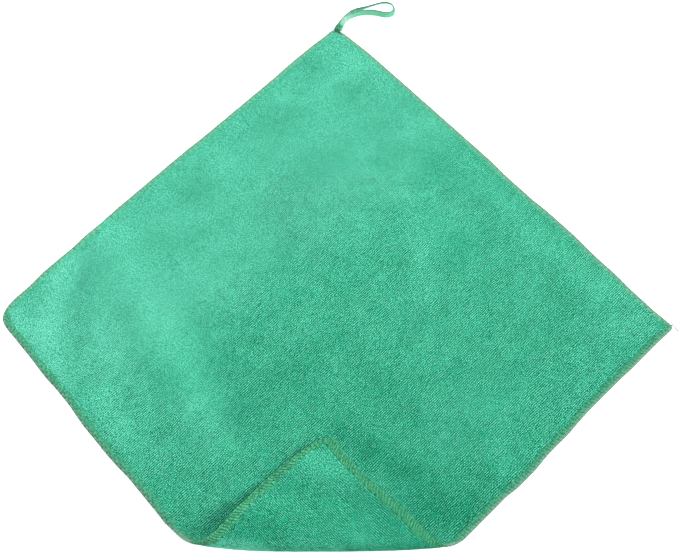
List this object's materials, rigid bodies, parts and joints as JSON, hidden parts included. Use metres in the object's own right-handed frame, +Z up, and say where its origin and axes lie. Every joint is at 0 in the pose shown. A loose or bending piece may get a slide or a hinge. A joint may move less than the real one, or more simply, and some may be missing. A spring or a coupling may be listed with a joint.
{
  "type": "microfibre cleaning cloth",
  "caption": "Square green microfibre cloth lying flat on its point, overlocked hem, near corner folded over in an open roll, and a narrow tape hanging loop at the far corner.",
  "frame": {"origin": "on the surface the cloth lies on, under the middle of the box around the whole object", "axes": "+X to the right and +Y away from the near side as in the picture, +Z up; the cloth's sides run at about 45 degrees to both, with the loop's corner towards +Y"},
  "size_m": [0.415, 0.3664, 0.0149],
  "materials": {
    "microfibre": "matt brushed ribbed knit",
    "loop_tape": "matt narrow weave"
  },
  "bodies": {
    "root": {"cloth": "microfibre", "hanging_loop": "loop_tape"}
  },
  "joints": []
}
